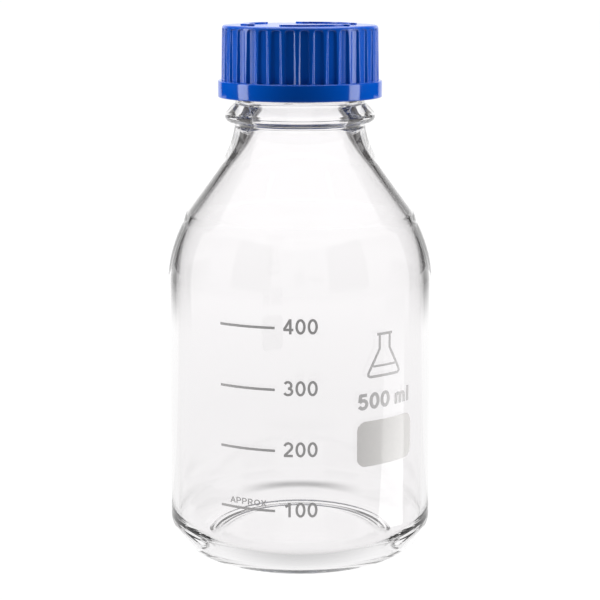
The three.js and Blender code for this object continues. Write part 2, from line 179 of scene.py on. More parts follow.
def thread_height(z, angle, origin_z, first_turn, shift=0.0):
    """How far up its flank a thread's surface is, from 0 at the root to 1 at the crest."""
    turn = np.round((z - origin_z) / PITCH - angle / (2 * math.pi))
    along = turn + angle / (2 * math.pi)
    offset = np.abs(z - origin_z - along * PITCH)
    flank = (THREAD_HALF_ROOT - offset) / (THREAD_HALF_ROOT - THREAD_HALF_CREST)
    run = along - first_turn + shift
    fade = np.clip(np.minimum(run, THREAD_TURNS - run) / THREAD_RUN_OUT, 0, 1)
    return eased(np.clip(flank, 0, 1)) * eased(fade)


def turned_mesh(name, outline, columns, reshape=None, closed=False):
    """A mesh of an outline turned about Z. reshape(r, z, angle) may change the radius."""
    outline = np.array(outline, float)
    angles = np.arange(columns) * 2 * math.pi / columns
    poles = (outline[0, 0] < 1e-6, outline[-1, 0] < 1e-6)
    body = outline[int(poles[0]):len(outline) - int(poles[1])]
    r = np.repeat(body[:, :1], columns, axis=1)
    z = np.repeat(body[:, 1:], columns, axis=1)
    theta = np.repeat(angles[None, :], len(body), axis=0)
    if reshape is not None:
        r = reshape(r, z, theta)
    vertices = np.stack([r * np.cos(theta), r * np.sin(theta), z], axis=-1).reshape(-1, 3)
    rows = len(body)
    faces = []
    for row in range(rows if closed else rows - 1):
        low, high = row * columns, ((row + 1) % rows) * columns
        for column in range(columns):
            after = (column + 1) % columns
            faces.append((low + column, low + after, high + after, high + column))
    vertices = [tuple(v) for v in vertices * MM]
    if poles[0]:
        vertices.append((0, 0, outline[0, 1] * MM))
        pole = len(vertices) - 1
        faces += [(pole, (c + 1) % columns, c) for c in range(columns)]
    if poles[1]:
        vertices.append((0, 0, outline[-1, 1] * MM))
        pole = len(vertices) - 1
        last = (rows - 1) * columns
        faces += [(last + c, last + (c + 1) % columns, pole) for c in range(columns)]
    mesh = bpy.data.meshes.new(name)
    mesh.from_pydata(vertices, [], faces)
    return finished_object(name, mesh)


def finished_object(name, mesh, smooth=True):
    """An object for a mesh, with its faces pointing out and shaded smooth."""
    work = bmesh.new()
    work.from_mesh(mesh)
    bmesh.ops.recalc_face_normals(work, faces=work.faces)
    work.to_mesh(mesh)
    work.free()
    if smooth:
        mesh.shade_smooth()
    made = bpy.data.objects.new(name, mesh)
    bpy.context.collection.objects.link(made)
    return made


# ---- materials ---------------------------------------------------------------------------------
def new_material(name, **sockets):
    """A Principled material, with constant values set on the shader's own sockets."""
    material = bpy.data.materials.new(name)
    material.use_nodes = True
    shader = material.node_tree.nodes["Principled BSDF"]
    for key, value in sockets.items():
        shader.inputs[key.replace("_", " ")].default_value = value
    return material, material.node_tree, shader


def object_noise(tree, scale, detail=3.0, roughness=0.5):
    """A noise texture fixed to the object, with its scale in cycles a metre."""
    place = tree.nodes.new("ShaderNodeTexCoord")
    noise = tree.nodes.new("ShaderNodeTexNoise")
    noise.inputs["Scale"].default_value = scale
    noise.inputs["Detail"].default_value = detail
    noise.inputs["Roughness"].default_value = roughness
    tree.links.new(place.outputs["Object"], noise.inputs["Vector"])
    return noise


def ramp_between(tree, source, low, high):
    """A colour or grey that runs from low to high with a 0 to 1 source."""
    mix = tree.nodes.new("ShaderNodeMix")
    mix.data_type = "RGBA"
    mix.inputs["A"].default_value = low
    mix.inputs["B"].default_value = high
    tree.links.new(source, mix.inputs["Factor"])
    return mix.outputs["Result"]


def bump(tree, shader, source, distance, strength=1.0):
    node = tree.nodes.new("ShaderNodeBump")
    node.inputs["Distance"].default_value = distance
    node.inputs["Strength"].default_value = strength
    tree.links.new(source, node.inputs["Height"])
    tree.links.new(node.outputs["Normal"], shader.inputs["Normal"])


def feed(tree, socket, value):
    """Links an output into a socket, or sets the socket to a number."""
    if isinstance(value, bpy.types.NodeSocket):
        tree.links.new(value, socket)
    else:
        socket.default_value = value


def map_range(tree, source, low, high, start=0.0, end=1.0, curve="LINEAR"):
    """Goes from low to high while the source goes from start to end."""
    node = tree.nodes.new("ShaderNodeMapRange")
    node.interpolation_type = curve
    feed(tree, node.inputs["Value"], source)
    feed(tree, node.inputs["From Min"], start)
    feed(tree, node.inputs["From Max"], end)
    feed(tree, node.inputs["To Min"], low)
    feed(tree, node.inputs["To Max"], high)
    return node.outputs["Result"]


def faded(tree, source, start, end, low, high):
    """Goes smoothly from low to high while the source goes from start to end."""
    return map_range(tree, source, low, high, start, end, "SMOOTHSTEP")


def computed(tree, operation, first, second=0.0):
    """A sum, product or other function of one or two values."""
    node = tree.nodes.new("ShaderNodeMath")
    node.operation = operation
    feed(tree, node.inputs[0], first)
    feed(tree, node.inputs[1], second)
    return node.outputs["Value"]


def object_place(tree):
    """The point's place in the piece's own frame, as a vector and as x, y and z."""
    place = tree.nodes.new("ShaderNodeTexCoord").outputs["Object"]
    split = tree.nodes.new("ShaderNodeSeparateXYZ")
    tree.links.new(place, split.inputs["Vector"])
    return place, *split.outputs


def distance_from(tree, place, point=(0, 0, 0)):
    """How far a place is from a point, which is the piece's origin unless it is given."""
    node = tree.nodes.new("ShaderNodeVectorMath")
    node.operation = "DISTANCE"
    node.inputs[1].default_value = point
    tree.links.new(place, node.inputs[0])
    return node.outputs["Value"]


def glass_material():
    """Borosilicate with a trace of the tint that thick, clear glass has."""
    return new_material(
        "clear_borosilicate",
        Base_Color=(0.984, 0.976, 0.98, 1),
        Roughness=0.0,
        IOR=1.473,
        Transmission_Weight=1.0,
    )[0]


def cap_material():
    """Moulded polypropylene: deep blue with faint flow marks, glossiest on the band."""
    material, tree, shader = new_material("blue_polypropylene", IOR=1.49)
    flow = object_noise(tree, 60, 4)
    colour = ramp_between(tree, flow.outputs["Fac"], (0.0, 0.056, 0.37, 1), (0.0, 0.074, 0.43, 1))
    tree.links.new(colour, shader.inputs["Base Color"])
    band, skirt, roof = 0.09, 0.2, 0.155
    height = object_place(tree)[3]
    rough = map_range(tree, height, band, skirt, (BAND_TOP_Z - 0.2) * MM, (BAND_TOP_Z + 0.4) * MM)
    rough = map_range(tree, height, rough, roof, (CAP_TOP - 0.15) * MM, (CAP_TOP - 0.05) * MM)
    uneven = map_range(tree, flow.outputs["Fac"], 0.8, 1.2)
    tree.links.new(computed(tree, "MULTIPLY", rough, uneven), shader.inputs["Roughness"])
    bump(tree, shader, object_noise(tree, 900, 2).outputs["Fac"], 0.000006, 0.15)
    return material


def mottled_material(name, ior, mottle, dark, light, roughness, grain):
    """A mottle, given by a noise's settings, varies the colour and the roughness. A finer grain,
    given by a noise's scale, its detail, a height and a strength, raises the surface."""
    material, tree, shader = new_material(name, IOR=ior)
    spots = object_noise(tree, *mottle).outputs["Fac"]
    tree.links.new(ramp_between(tree, spots, dark, light), shader.inputs["Base Color"])
    tree.links.new(map_range(tree, spots, *roughness), shader.inputs["Roughness"])
    scale, detail, height, strength = grain
    bump(tree, shader, object_noise(tree, scale, detail).outputs["Fac"], height, strength)
    return material


def ring_material():
    """Polypropylene of a paler blue than the cap's, with a coarser grain."""
    dark, light = (0.005, 0.1, 0.42, 1), (0.01, 0.14, 0.55, 1)
    mottle, grain = (90, 3), (1800, 2, 0.00002, 0.5)
    return mottled_material("ring_polypropylene", 1.49, mottle, dark, light, (0.28, 0.4), grain)


def liner_material():
    """Off-white silicone with a faint mottle."""
    dark, light = (0.7, 0.68, 0.62, 1), (0.82, 0.8, 0.75, 1)
    mottle, grain = (400, 5), (3000, 2, 0.00003, 0.4)
    return mottled_material("silicone_liner", 1.41, mottle, dark, light, (0.45, 0.6), grain)


def enamel_material(name, light, dark):
    """Fused, screen-printed enamel: a slightly uneven, glossy, opaque grey with pinhole texture."""
    mottle, grain = (700, 6, 0.65), (4000, 3, 0.00001, 0.5)
    return mottled_material(name, 1.5, mottle, dark, light, (0.04, 0.08), grain)


# ---- glass bottle ------------------------------------------------------------------------------
def inside_of_slope(point, wall):
    """The point on the cone's inner face, square to the slope, behind one on its outer face."""
    slope = math.atan2(CONE_LOW[0] - CONE_HIGH[0], CONE_HIGH[1] - CONE_LOW[1])
    return (point[0] - wall * math.cos(slope), point[1] - wall * math.sin(slope))


def glass_outline():
    """From the middle of the base, up the outside, over the lip and down the inside."""
    heel_centre = BODY_R - HEEL_R
    foot_in = heel_centre - FOOT_WIDTH
    push_up_edge = (foot_in - PUSH_UP_SLOPE, PUSH_UP)
    inner_r = BODY_R - WALL
    inner_heel = inner_r - INNER_HEEL_R
    floor_top = FLOOR_Z + FLOOR_CROWN
    low = inside_of_slope(CONE_LOW, LOW_SHOULDER_WALL)
    high = inside_of_slope(CONE_HIGH, HIGH_SHOULDER_WALL)
    return [
        *line((0, PUSH_UP), push_up_edge, 8),
        *bezier([push_up_edge, (foot_in - PUSH_UP_PULL, PUSH_UP), (foot_in, 0)], 18),
        *line((foot_in, 0), (heel_centre, 0), 3),
        *arc((heel_centre, HEEL_R), HEEL_R, -90, 0, 28)[:-1],
        *line((BODY_R, HEEL_R), (BODY_R, BODY_TOP_Z), 30),
        *bezier([(BODY_R, BODY_TOP_Z), *SHOULDER_PULLS, CREASE], 18),
        *bezier([CREASE, *CREASE_PULLS, CONE_LOW], 12),
        *line(CONE_LOW, CONE_HIGH, 14),
        *bezier([CONE_HIGH, *NECK_PULLS, (NECK_R, NECK_BASE_Z)], 18),
        *bezier([(NECK_R, NECK_BASE_Z), BEAD_PULLS[0], (BEAD_R, BEAD_MIDDLE_Z)], 12),
        *bezier([(BEAD_R, BEAD_MIDDLE_Z), BEAD_PULLS[1], (THREAD_CORE_R, BEAD_TOP_Z)], 12),
        *line((THREAD_CORE_R, BEAD_TOP_Z), (THREAD_CORE_R, THREAD_START_Z - THREAD_ROOM), 5),
        *line((THREAD_CORE_R, THREAD_START_Z - THREAD_ROOM), (THREAD_CORE_R, LIP_BASE_Z), 75),
        *line((THREAD_CORE_R, LIP_BASE_Z), (LIP_R, LIP_BASE_Z + LIP_CHAMFER), 4),
        *line((LIP_R, LIP_BASE_Z + LIP_CHAMFER), (LIP_R, LIP_TOP - LIP_ROUND), 6),
        *arc((LIP_R - LIP_ROUND, LIP_TOP - LIP_ROUND), LIP_ROUND, 0, 90, 8)[:-1],
        *line((LIP_R - LIP_ROUND, LIP_TOP), (BORE_R + LIP_ROUND, LIP_TOP), 3),
        *arc((BORE_R + LIP_ROUND, LIP_TOP - LIP_ROUND), LIP_ROUND, 90, 180, 8)[:-1],
        *line((BORE_R, LIP_TOP - LIP_ROUND), (BORE_R, BORE_BASE_Z), 10),
        *bezier([(BORE_R, BORE_BASE_Z), *INNER_NECK_PULLS, high], 22),
        *line(high, low, 14),
        *bezier([low, *INNER_SHOULDER_PULLS, (inner_r, BODY_TOP_Z)], 24),
        *line((inner_r, BODY_TOP_Z), (inner_r, FLOOR_Z + INNER_HEEL_R), 30),
        *arc((inner_heel, FLOOR_Z + INNER_HEEL_R), INNER_HEEL_R, 0, -90, 26)[:-1],
        *bezier([(inner_heel, FLOOR_Z), (inner_heel / 2, floor_top), (0, floor_top)], 20),
        (0, floor_top),
    ]


def glass_shape(r, z, angle):
    """Raises the GL 45 thread on the outside of the neck."""
    margin = 0.1
    threaded = (z > THREAD_START_Z - THREAD_ROOM - margin) & (z < LIP_BASE_Z + margin)
    on_thread = np.isclose(r, THREAD_CORE_R) & threaded
    rise = thread_height(z, angle, THREAD_START_Z, 0)
    return np.where(on_thread, r + rise * (THREAD_CREST_R - THREAD_CORE_R), r)


def make_glass():
    glass = turned_mesh("glass_body", glass_outline(), columns=256, reshape=glass_shape)
    glass.data.materials.append(glass_material())
    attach(glass, "bottle")
    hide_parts("glass_bottle")


# ---- screw cap ---------------------------------------------------------------------------------
def skirt_r(z):
    """The outside of the skirt's ribs, which narrows a little towards the roof."""
    share = (z - BAND_TOP_Z) / (CAP_TOP - CAP_EDGE_R - BAND_TOP_Z)
    return SKIRT_LOW_R + (SKIRT_HIGH_R - SKIRT_LOW_R) * share


def cap_outline():
    """From the middle of the roof's underside, down the bore, up the outside and over the roof."""
    roof = CAP_TOP - CAP_ROOF
    band_round = 0.35
    roof_round = 0.6
    mouth_chamfer = (0.8, 1)
    fillet = (0.2, 0.25)
    chamfer_top = (CAP_BORE_R, CAP_BOTTOM + mouth_chamfer[1])
    band_low, band_high = CAP_BOTTOM + band_round, BAND_TOP_Z - band_round
    fillet_start = (SKIRT_LOW_R + fillet[0], BAND_TOP_Z)
    skirt_start = (SKIRT_LOW_R, BAND_TOP_Z + fillet[1])
    fine_z = FLUTE_END_Z - 1.6  # the rows are closer from here, where the flutes end
    fine_start = (skirt_r(fine_z), fine_z)
    edge_centre = (SKIRT_HIGH_R - CAP_EDGE_R, CAP_TOP - CAP_EDGE_R)
    return [
        *line((0, roof), (CAP_BORE_R - roof_round, roof), 6),
        *arc((CAP_BORE_R - roof_round, roof - roof_round), roof_round, 90, 0, 5),
        *line((CAP_BORE_R, roof - 0.8), chamfer_top, 80),
        *line(chamfer_top, (CAP_BORE_R + mouth_chamfer[0], CAP_BOTTOM), 4),
        *arc((BAND_R - band_round, band_low), band_round, -90, 0, 5),
        *arc((BAND_R - band_round, band_high), band_round, 0, 90, 5),
        *line((BAND_R - 0.6, BAND_TOP_Z), fillet_start, 2),
        *bezier([fillet_start, (SKIRT_LOW_R, BAND_TOP_Z), skirt_start], 4),
        *line(skirt_start, fine_start, 10),
        *line(fine_start, (SKIRT_HIGH_R, CAP_TOP - CAP_EDGE_R), 18),
        *arc(edge_centre, CAP_EDGE_R, 0, 90, 16)[:-1],
        *line((SKIRT_HIGH_R - CAP_EDGE_R, CAP_TOP), (0, CAP_TOP), 8),
        (0, CAP_TOP),
    ]


def cap_shape(r, z, angle):
    """Sinks the flutes into the skirt, and raises the thread in the bore."""
    share = ((angle - FIRST_FLUTE) * FLUTES / (2 * math.pi)) % 1
    from_middle = np.abs((share + 0.5) % 1 - 0.5) * 2
    sunk = 1 - eased(np.clip((from_middle - FLUTE_FLOOR) / FLUTE_FLANK, 0, 1))
    to_side = np.clip((from_middle - FLUTE_END_START) / FLUTE_END_CURVE, 0, 1)
    end_z = FLUTE_END_Z - FLUTE_END_DROP * to_side ** 2
    sunk = sunk * eased(np.clip((end_z - z) / FLUTE_END_EASE, 0, 1))
    floor_r = np.where(sunk > 0, SKIRT_LOW_R - FLUTE_DEPTH * sunk, np.inf)
    on_skirt = (z > BAND_TOP_Z + 0.02) & (r > CAP_BORE_R + 0.1)
    fluted = np.where(on_skirt, np.minimum(r, floor_r), r)
    in_bore = np.isclose(fluted, CAP_BORE_R)
    rise = thread_height(z, angle, THREAD_START_Z - PITCH / 2, CAP_THREAD_LEAD)
    return np.where(in_bore, fluted - rise * (CAP_BORE_R - CAP_THREAD_CREST_R), fluted)


def flat_outline_solid(name, outlines, depth, bevel=0.0):
    """A solid with a flat outline, with its back at z = 0, from lists of (x, y)."""
    curve = bpy.data.curves.new(name, "CURVE")
    curve.dimensions = "2D"
    curve.fill_mode = "BOTH"
    for points in outlines:
        spline = curve.splines.new("POLY")
        spline.points.add(len(points) - 1)
        for point, (x, y) in zip(spline.points, points):
            point.co = (x * MM, y * MM, 0, 1)
        spline.use_cyclic_u = True
    curve.extrude = depth * MM / 2
    curve.bevel_depth = bevel * MM
    curve.bevel_resolution = 2
    return curve_mesh(name, curve)


def curve_mesh(name, curve):
    """The mesh of a curve, with its back moved to z = 0."""
    holder = bpy.data.objects.new(name, curve)
    bpy.context.collection.objects.link(holder)
    bpy.context.view_layer.update()
    evaluated = holder.evaluated_get(bpy.context.evaluated_depsgraph_get())
    mesh = bpy.data.meshes.new_from_object(evaluated)
    bpy.data.objects.remove(holder)
    lowest = min(v.co.z for v in mesh.vertices)
    for vertex in mesh.vertices:
        vertex.co.z -= lowest
    work = bmesh.new()
    work.from_mesh(mesh)
    bmesh.ops.remove_doubles(work, verts=work.verts, dist=1e-6)
    work.to_mesh(mesh)
    work.free()
    mesh.materials.clear()
    return mesh


def turn_arrow(start_deg):
    """The outline of a curved arrow that points the way the cap opens."""
    middle_r, half_width, half_head = 17.5, 0.9, 2.3
    sweep, head = 70, 14
    end_deg = start_deg + sweep
    return [
        *arc((0, 0), middle_r + half_width, start_deg, end_deg, 24),
        *arc((0, 0), middle_r + half_head, end_deg, end_deg, 0),
        *arc((0, 0), middle_r, end_deg + head, end_deg + head, 0),
        *arc((0, 0), middle_r - half_head, end_deg, end_deg, 0),
        *arc((0, 0), middle_r - half_width, end_deg, start_deg, 24),
    ]


def make_cap(blue):
    cap = turned_mesh("cap_moulding", cap_outline(), columns=FLUTES * 24, reshape=cap_shape)
    cap.data.materials.append(blue)
    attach(cap, "cap")
    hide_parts("screw_cap")


def make_cap_arrows(blue):
    """Three arrows raised on the roof, up to the top of the CAD cap."""
    outlines = [turn_arrow(start_deg) for start_deg in (10, 130, 250)]
    mesh = flat_outline_solid("cap_arrows", outlines, depth=0.4, bevel=0.08)
    highest = max(v.co.z for v in mesh.vertices)
    for vertex in mesh.vertices:
        vertex.co.z += (CAP_TOP + RAISED) * MM - highest
    arrows = finished_object("cap_arrows", mesh, smooth=False)
    arrows.data.materials.append(blue)
    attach(arrows, "cap")


# ---- pouring ring and liner --------------------------------------------------------------------
def make_pouring_ring():
    inner, outer, mouth = 19.9, RING_HIGH.x, 16.6
    base, top, roof = RING_LOW.z, RING_HIGH.z, RING_HIGH.z - 0.9
    inner_edge, outer_edge, shoulder, mouth_top, mouth_base = 0.2, 0.25, 0.45, 0.35, 0.3
    outline = [
        *arc((inner + inner_edge, base + inner_edge), inner_edge, 180, 270, 4),
        *arc((outer - outer_edge, base + outer_edge), outer_edge, -90, 0, 5),
        *line((outer, base + 1), (outer, top - 0.5), 5),
        *arc((outer - shoulder, top - shoulder), shoulder, 0, 90, 6),
        *line((outer - 0.8, top), (mouth + 0.4, top), 5),
        *arc((mouth + mouth_top, top - mouth_top), mouth_top, 90, 180, 5),
        *arc((mouth + mouth_base, roof + mouth_base), mouth_base, 180, 270, 5),
        *line((mouth + 0.6, roof), (inner, roof), 5),
        *line((inner, roof), (inner, base + inner_edge), 8),
    ]
    ring = turned_mesh("drip_ring", outline, columns=160, closed=True)
    ring.data.materials.append(ring_material())
    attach(ring, "bottle")
    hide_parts("pouring_ring")


def make_liner():
    low, high, radius, edge = LINER_LOW.z, LINER_HIGH.z, LINER_HIGH.x, 0.2
    groove_top = low + 0.2
    groove = [(18.6, low), (18.3, groove_top), (17.2, groove_top), (16.9, low)]
    outline = [
        (0, high),
        *line((2, high), (radius - 0.25, high), 8),
        *arc((radius - edge, high - edge), edge, 90, 0, 4),
        *arc((radius - edge, low + edge), edge, 0, -90, 4),
        *groove,
        *line((16, low), (2, low), 8),
        (0, low),
    ]
    liner = turned_mesh("sealing_disc", outline, columns=128)
    liner.data.materials.append(liner_material())
    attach(liner, "liner")
    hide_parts("cap_liner")


# ---- enamel ------------------------------------------------------------------------------------
def bend_on_glass(name, mesh, bearing_deg, z):
    """Cuts a flat mesh into narrow columns and bends it round the bottle, x along the glass."""
    work = bmesh.new()
    work.from_mesh(mesh)
    xs = [v.co.x for v in work.verts]
    step = 0.6 * MM  # narrow enough for the bend to look round
    cut = min(xs) + step
    while cut < max(xs):
        geometry = [*work.verts, *work.edges, *work.faces]
        bmesh.ops.bisect_plane(work, geom=geometry, plane_co=(cut, 0, 0), plane_no=(1, 0, 0))
        cut += step
    for vertex in work.verts:
        bearing = math.radians(bearing_deg) + vertex.co.x / (BODY_R * MM)
        r = (BODY_R + ENAMEL_LIFT) * MM + vertex.co.z
        vertex.co = (r * math.sin(bearing), -r * math.cos(bearing), z * MM + vertex.co.y)
    work.to_mesh(mesh)
    work.free()
    return finished_object(name, mesh, smooth=False)


# The strokes of each character on their centre lines, in a cell 1 high. A loop is closed.
GLYPHS = {
    "0": {"loops": [ellipse(0.33, 0.5, 0.25, 0.43, 0, 350, 35)]},
    "1": {"lines": [[(0.4, 0), (0.4, 1)], [(0.12, 0.7), (0.3, 0.8), (0.42, 0.97)]]},
    "2": {"lines": [[*ellipse(0.32, 0.68, 0.24, 0.25, 168, -35), (0.09, 0.1)],
                    [(0.03, 0.08), (0.62, 0.08)]]},
    "3": {"lines": [ellipse(0.3, 0.71, 0.22, 0.22, 155, -90),
                    ellipse(0.31, 0.29, 0.26, 0.22, 90, -158)]},
    "4": {"lines": [[(0.46, 0), (0.46, 1)], [(0.45, 0.96), (0.05, 0.3)],
                    [(0.01, 0.29), (0.66, 0.29)]]},
    "5": {"lines": [[(0.58, 0.92), (0.13, 0.92)], [(0.17, 0.98), (0.1, 0.46)],
                    ellipse(0.31, 0.33, 0.26, 0.26, 148, -155)]},
    "l": {"lines": [[(0.14, 0), (0.14, 1)]]},
    "m": {"lines": [[(0.08, 0), (0.08, 0.7)], [*ellipse(0.26, 0.45, 0.18, 0.2, 178, 0), (0.44, 0)],
                    [*ellipse(0.62, 0.45, 0.18, 0.2, 178, 0), (0.8, 0)]]},
    "A": {"lines": [[(0.04, 0), (0.38, 0.98)], [(0.38, 0.98), (0.72, 0)], [(0.16, 0.33), (0.6, 0.33)]]},
    "P": {"lines": [[(0.08, 0), (0.08, 1)],
                    [(0.08, 0.93), *ellipse(0.4, 0.69, 0.21, 0.24, 90, -90), (0.08, 0.45)]]},
    "R": {"lines": [[(0.08, 0), (0.08, 1)], [(0.36, 0.46), (0.66, 0)],
                    [(0.08, 0.93), *ellipse(0.4, 0.69, 0.21, 0.24, 90, -90), (0.08, 0.45)]]},
    "O": {"loops": [ellipse(0.42, 0.5, 0.34, 0.43, 0, 350, 35)]},
    "X": {"lines": [[(0.04, 0), (0.64, 1)], [(0.64, 0), (0.04, 1)]]},
}
ADVANCE = {"0": 0.79, "1": 0.79, "2": 0.79, "3": 0.79, "4": 0.79, "5": 0.79, "l": 0.36, "m": 1.02,
           "A": 0.9, "P": 0.86, "R": 0.9, "O": 1.0, "X": 0.8, " ": 0.36}


def stroke_solid(points, width, closed=False):
    """A flat strip of even width, as thick as the enamel, along points in millimetres."""
    points = [np.array(p, float) for p in points]
    count = len(points)
    work = bmesh.new()
    rings = []
    for i, point in enumerate(points):
        before = points[i - 1] if closed or i else point
        after = points[(i + 1) % count] if closed or i < count - 1 else point
        across = np.array([before[1] - after[1], after[0] - before[0]])
        across = across / np.linalg.norm(across) * width / 2
        corners = [(*(point + across), 0), (*(point - across), 0)]
        corners += [(x, y, ENAMEL_THICKNESS) for x, y, _ in reversed(corners)]
        rings.append([work.verts.new(Vector(c) * MM) for c in corners])
    for i in range(count if closed else count - 1):
        first, second = rings[i], rings[(i + 1) % count]
        for k in range(4):
            work.faces.new((first[k], second[k], second[(k + 1) % 4], first[(k + 1) % 4]))
    if not closed:
        work.faces.new(rings[0])
        work.faces.new(list(reversed(rings[-1])))
    bmesh.ops.recalc_face_normals(work, faces=work.faces)
    mesh = bpy.data.meshes.new("stroke")
    work.to_mesh(mesh)
    work.free()
    return mesh


def joined_solid(meshes):
    """The union of overlapping solids, as one mesh."""
    holders = [bpy.data.objects.new("solid", mesh) for mesh in meshes]
    for holder in holders:
        bpy.context.collection.objects.link(holder)
    for other in holders[1:]:
        union = holders[0].modifiers.new("union", "BOOLEAN")
        union.operation = "UNION"
        union.solver = "EXACT"
        union.object = other
    bpy.context.view_layer.update()
    whole = holders[0].evaluated_get(bpy.context.evaluated_depsgraph_get())
    result = bpy.data.meshes.new_from_object(whole)
    for holder in holders:
        bpy.data.objects.remove(holder)
    return result


def text_mesh(text, height, weight):
    """Characters drawn with strokes of even weight, from the origin to the right."""
    meshes = []
    offset = 0
    for character in text:
        glyph = GLYPHS.get(character, {})
        solids = []
        for kind in ("lines", "loops"):
            for points in glyph.get(kind, []):
                placed = [((x + offset) * height, y * height) for x, y in points]
                solids.append(stroke_solid(placed, weight, kind == "loops"))
        if solids:
            meshes.append(joined_solid(solids))
        offset += ADVANCE[character]
    return merged(meshes)


def merged(meshes):
    """Separate meshes put together as one."""
    work = bmesh.new()
    for mesh in meshes:
        work.from_mesh(mesh)
    result = bpy.data.meshes.new("merged")
    work.to_mesh(result)
    work.free()
    return result


def stretched(mesh, width):
    """Sets a mesh's width in millimetres, with its left edge at 0."""
    left = min(v.co.x for v in mesh.vertices)
    widest = max(v.co.x for v in mesh.vertices) - left
    for vertex in mesh.vertices:
        vertex.co.x = (vertex.co.x - left) * width * MM / widest
    return mesh


def put_enamel(piece, material, nodes=()):
    """Gives a mark its material and body, and hides the CAD nodes that it stands for, if there are any.
    """
    piece.data.materials.append(material)
    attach(piece, "bottle")
    if nodes:
        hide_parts(*nodes)


def rounded_patch(width, height, corner):
    """The outline of a rounded rectangle with its lower left at the origin."""
    corners = [
        (width - corner, corner, -90), (width - corner, height - corner, 0),
        (corner, height - corner, 90), (corner, corner, 180),
    ]
    points = []
    for x, y, start in corners:
        points += arc((x, y), corner, start, start + 90, 8)
    return points


def flask_mesh():
    """A conical flask in outline, with its middle at x = 0."""
    outline = [
        (-2, 13.6), (-2, 9), (-4, 5.4), (-6.1, 1.7), (-6.2, 0.9), (-5.6, 0.4), (-3, 0.4), (0, 0.4),
        (3, 0.4), (5.6, 0.4), (6.2, 0.9), (6.1, 1.7), (4, 5.4), (2, 9), (2, 13.6), (0, 13.6),
    ]
    level = [(-4.4, 3.6), (4.4, 3.6)]
    lip = [(-3, 13.6), (3, 13.6)]
    return joined_solid([
        stroke_solid(outline, 0.85, closed=True), stroke_solid(level, 0.7), stroke_solid(lip, 0.85),
    ])


def width_on_glass(bearings):
    """How long the glass is between two bearings."""
    return math.radians(bearings[1] - bearings[0]) * BODY_R


def make_graduation(volume, enamel):
    """One line of the scale, and the number beside it."""
    node = f"line_{volume}"
    low, high = box_mm(node)
    outline = rounded_patch(width_on_glass(LINE_BEARINGS), high.z - low.z, corner=0.1)
    flat = flat_outline_solid(node, [outline], ENAMEL_THICKNESS)
    mark = bend_on_glass(f"graduation_{volume}", flat, LINE_BEARINGS[0], low.z)
    put_enamel(mark, enamel, [node])
    numeral_z = (low.z + high.z) / 2 - NUMERAL_DROP
    flat = text_mesh(str(volume), height=4.7, weight=0.78)
    numeral = bend_on_glass(f"value_{volume}", flat, NUMERAL_BEARING, numeral_z)
    put_enamel(numeral, enamel, [f"numeral_{volume}_{i}" for i in (1, 2, 3)])


def make_writing_panel():
    enamel = enamel_material("panel_enamel_print", (0.735, 0.72, 0.705, 1), (0.675, 0.66, 0.65, 1))
    low, high = box_mm("writing_panel")
    outline = rounded_patch(width_on_glass(PANEL_BEARINGS), high.z - low.z, PANEL_CORNER_R)
    flat = flat_outline_solid("panel", [outline], ENAMEL_THICKNESS)
    panel = bend_on_glass("writing_patch", flat, PANEL_BEARINGS[0], low.z)
    put_enamel(panel, enamel, ["writing_panel"])


def make_enamel():
    grey = enamel_material("grey_enamel_print", (0.5, 0.49, 0.49, 1), (0.43, 0.42, 0.42, 1))
    pale = enamel_material("pale_enamel_print", (0.6, 0.59, 0.59, 1), (0.53, 0.52, 0.52, 1))
    for volume in GRADUATIONS:
        make_graduation(volume, grey)
    flat = stretched(text_mesh("APPROX", height=1.9, weight=0.32), width_on_glass(NOTE_BEARINGS))
    put_enamel(bend_on_glass("approximate_note", flat, NOTE_BEARINGS[0], NOTE_Z), grey)
    flat = stretched(text_mesh("500 ml", height=4.9, weight=1.08), width_on_glass(CAPACITY_BEARINGS))
    capacity = bend_on_glass("capacity_value", flat, CAPACITY_BEARINGS[0], CAPACITY_Z)
    capacity_nodes = [f"capacity_digit_{i}" for i in (1, 2, 3)]
    capacity_nodes += ["capacity_letter_m", "capacity_letter_l"]
    put_enamel(capacity, pale, capacity_nodes)
    make_writing_panel()
    flask = bend_on_glass("flask_pictogram", flask_mesh(), FLASK_BEARING, FLASK_Z)
    put_enamel(flask, pale, ["flask_symbol"])


# ---- floor, light and camera, in metres, with bearings in degrees from the front ---------------
def stage_only(item, **seen_by):
    """Marks a stage piece that shows only to the kinds of ray that are named."""
    for kind in ("camera", "diffuse", "glossy", "transmission", "shadow"):
        setattr(item, f"visible_{kind}", seen_by.get(kind, False))


def sheet_object(name, vertices, faces, material):
    """A stage piece with its faces as they are given."""
    mesh = bpy.data.meshes.new(name)
    mesh.from_pydata(vertices, [], faces)
    sheet = bpy.data.objects.new(name, mesh)
    bpy.context.collection.objects.link(sheet)
    sheet.data.materials.append(material)
    return sheet


def flat_sheet(name, corners, z, material):
    return sheet_object(name, [(x, y, z) for x, y in corners], [(0, 1, 2, 3)], material)


def bearing_point(bearing_deg, distance, z):
    bearing = math.radians(bearing_deg)
    return (math.sin(bearing) * distance, -math.cos(bearing) * distance, z)


def swept_sheet(name, first, second, from_deg, to_deg, material, steps=48):
    """A sheet round the bottle between two bearings. Each edge is a distance and a height."""
    vertices, faces = [], []
    for i in range(steps + 1):
        bearing = from_deg + (to_deg - from_deg) * i / steps
        vertices += [bearing_point(bearing, *first), bearing_point(bearing, *second)]
        if i:
            faces.append((2 * i - 2, 2 * i, 2 * i + 1, 2 * i - 1))
    return sheet_object(name, vertices, faces, material)


def black_cloth(name, glow=0.0):
    """Matt black, which may be lifted by a faint glow."""
    return new_material(
        name,
        Base_Color=(0.012, 0.012, 0.012, 1),
        Roughness=1.0,
        Specular_IOR_Level=0.0,
        Emission_Color=(1, 0.97, 0.96, 1),
        Emission_Strength=glow,
    )[0]


